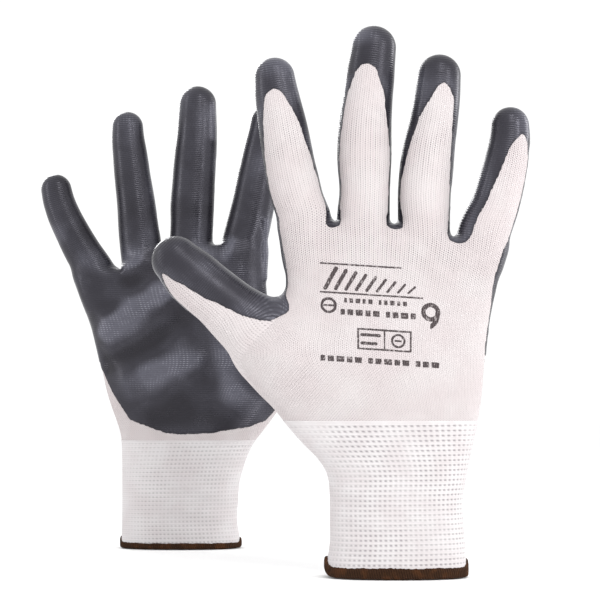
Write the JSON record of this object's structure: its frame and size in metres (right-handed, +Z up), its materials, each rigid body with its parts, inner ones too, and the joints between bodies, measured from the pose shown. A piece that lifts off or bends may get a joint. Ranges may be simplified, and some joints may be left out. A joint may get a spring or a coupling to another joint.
{
  "type": "work gloves",
  "caption": "Pair of seamless knitted work gloves with dipped palms and fingers, elastic rib cuffs and overlocked hems; each finger and thumb flexes towards the palm.",
  "frame": {"origin": "bottom centre of the pair's bounding box, on the surface that both hems stand on", "axes": "+Z up along the fingers, +X to the right seen from the front glove's back, +Y from the front glove to the rear glove"},
  "size_m": [0.2401, 0.2266, 0.25],
  "materials": {
    "knit_liner": "fine seamless plain knit, white",
    "nitrile_coating": "smooth, glossy dark grey dip over the knit",
    "rib_cuff": "open rib knit, white",
    "elastic_yarn": "covered elastic yarn, white",
    "overlock_thread": "dark brown overlock stitching",
    "printed_ink": "matt dark grey ink"
  },
  "bodies": {
    "front_hand": {"front_palm_liner": "knit_liner", "front_palm_coating": "nitrile_coating", "front_cuff_knit": "rib_cuff", "front_cuff_elastic": "elastic_yarn", "front_hem_overlock": "overlock_thread", "front_print_mark": "printed_ink"},
    "front_index": {"front_index_liner": "knit_liner", "front_index_coating": "nitrile_coating"},
    "front_middle": {"front_middle_liner": "knit_liner", "front_middle_coating": "nitrile_coating"},
    "front_ring": {"front_ring_liner": "knit_liner", "front_ring_coating": "nitrile_coating"},
    "front_little": {"front_little_liner": "knit_liner", "front_little_coating": "nitrile_coating"},
    "front_thumb": {"front_thumb_liner": "knit_liner", "front_thumb_coating": "nitrile_coating"},
    "rear_hand": {"rear_palm_liner": "knit_liner", "rear_palm_coating": "nitrile_coating", "rear_cuff_knit": "rib_cuff", "rear_cuff_elastic": "elastic_yarn", "rear_hem_overlock": "overlock_thread", "rear_print_mark": "printed_ink"},
    "rear_index": {"rear_index_liner": "knit_liner", "rear_index_coating": "nitrile_coating"},
    "rear_middle": {"rear_middle_liner": "knit_liner", "rear_middle_coating": "nitrile_coating"},
    "rear_ring": {"rear_ring_liner": "knit_liner", "rear_ring_coating": "nitrile_coating"},
    "rear_little": {"rear_little_liner": "knit_liner", "rear_little_coating": "nitrile_coating"},
    "rear_thumb": {"rear_thumb_liner": "knit_liner", "rear_thumb_coating": "nitrile_coating"}
  },
  "joints": [
    {"name": "front_index_flex", "type": "hinge", "parent": "front_hand", "child": "front_index", "pos_m": [0.0206, -0.094, 0.1604], "axis": [-0.9828, 0, -0.1848], "range_deg": [0, 65], "stiffness_Nm_per_rad": 0.03},
    {"name": "front_middle_flex", "type": "hinge", "parent": "front_hand", "child": "front_middle", "pos_m": [0.047, -0.094, 0.1604], "axis": [-0.9984, 0, 0.0557], "range_deg": [0, 65], "stiffness_Nm_per_rad": 0.03},
    {"name": "front_ring_flex", "type": "hinge", "parent": "front_hand", "child": "front_ring", "pos_m": [0.0752, -0.094, 0.1586], "axis": [-0.9968, 0, 0.0803], "range_deg": [0, 65], "stiffness_Nm_per_rad": 0.03},
    {"name": "front_little_flex", "type": "hinge", "parent": "front_hand", "child": "front_little", "pos_m": [0.1021, -0.094, 0.154], "axis": [-0.9823, 0, 0.1874], "range_deg": [0, 65], "stiffness_Nm_per_rad": 0.03},
    {"name": "front_thumb_flex", "type": "hinge", "parent": "front_hand", "child": "front_thumb", "pos_m": [-0.001, -0.094, 0.1106], "axis": [-0.6029, 0, -0.7978], "range_deg": [0, 50], "stiffness_Nm_per_rad": 0.03},
    {"name": "rear_index_flex", "type": "hinge", "parent": "rear_hand", "child": "rear_index", "pos_m": [-0.0129, 0.094, 0.162], "axis": [0.985, 0, -0.1725], "range_deg": [0, 65], "stiffness_Nm_per_rad": 0.03},
    {"name": "rear_middle_flex", "type": "hinge", "parent": "rear_hand", "child": "rear_middle", "pos_m": [-0.0416, 0.094, 0.162], "axis": [0.9992, 0, -0.0397], "range_deg": [0, 65], "stiffness_Nm_per_rad": 0.03},
    {"name": "rear_ring_flex", "type": "hinge", "parent": "rear_hand", "child": "rear_ring", "pos_m": [-0.0683, 0.094, 0.159], "axis": [0.9948, 0, 0.1021], "range_deg": [0, 65], "stiffness_Nm_per_rad": 0.03},
    {"name": "rear_little_flex", "type": "hinge", "parent": "rear_hand", "child": "rear_little", "pos_m": [-0.0939, 0.094, 0.151], "axis": [0.9213, 0, 0.3889], "range_deg": [0, 65], "stiffness_Nm_per_rad": 0.03},
    {"name": "rear_thumb_flex", "type": "hinge", "parent": "rear_hand", "child": "rear_thumb", "pos_m": [0.013, 0.094, 0.111], "axis": [0.6029, 0, -0.7978], "range_deg": [0, 50], "stiffness_Nm_per_rad": 0.03},
    {"name": "rear_glove_lift", "type": "slide", "parent": "front_hand", "child": "rear_hand", "axis": [0, 0, 1], "range_m": [0, 0.3]}
  ]
}
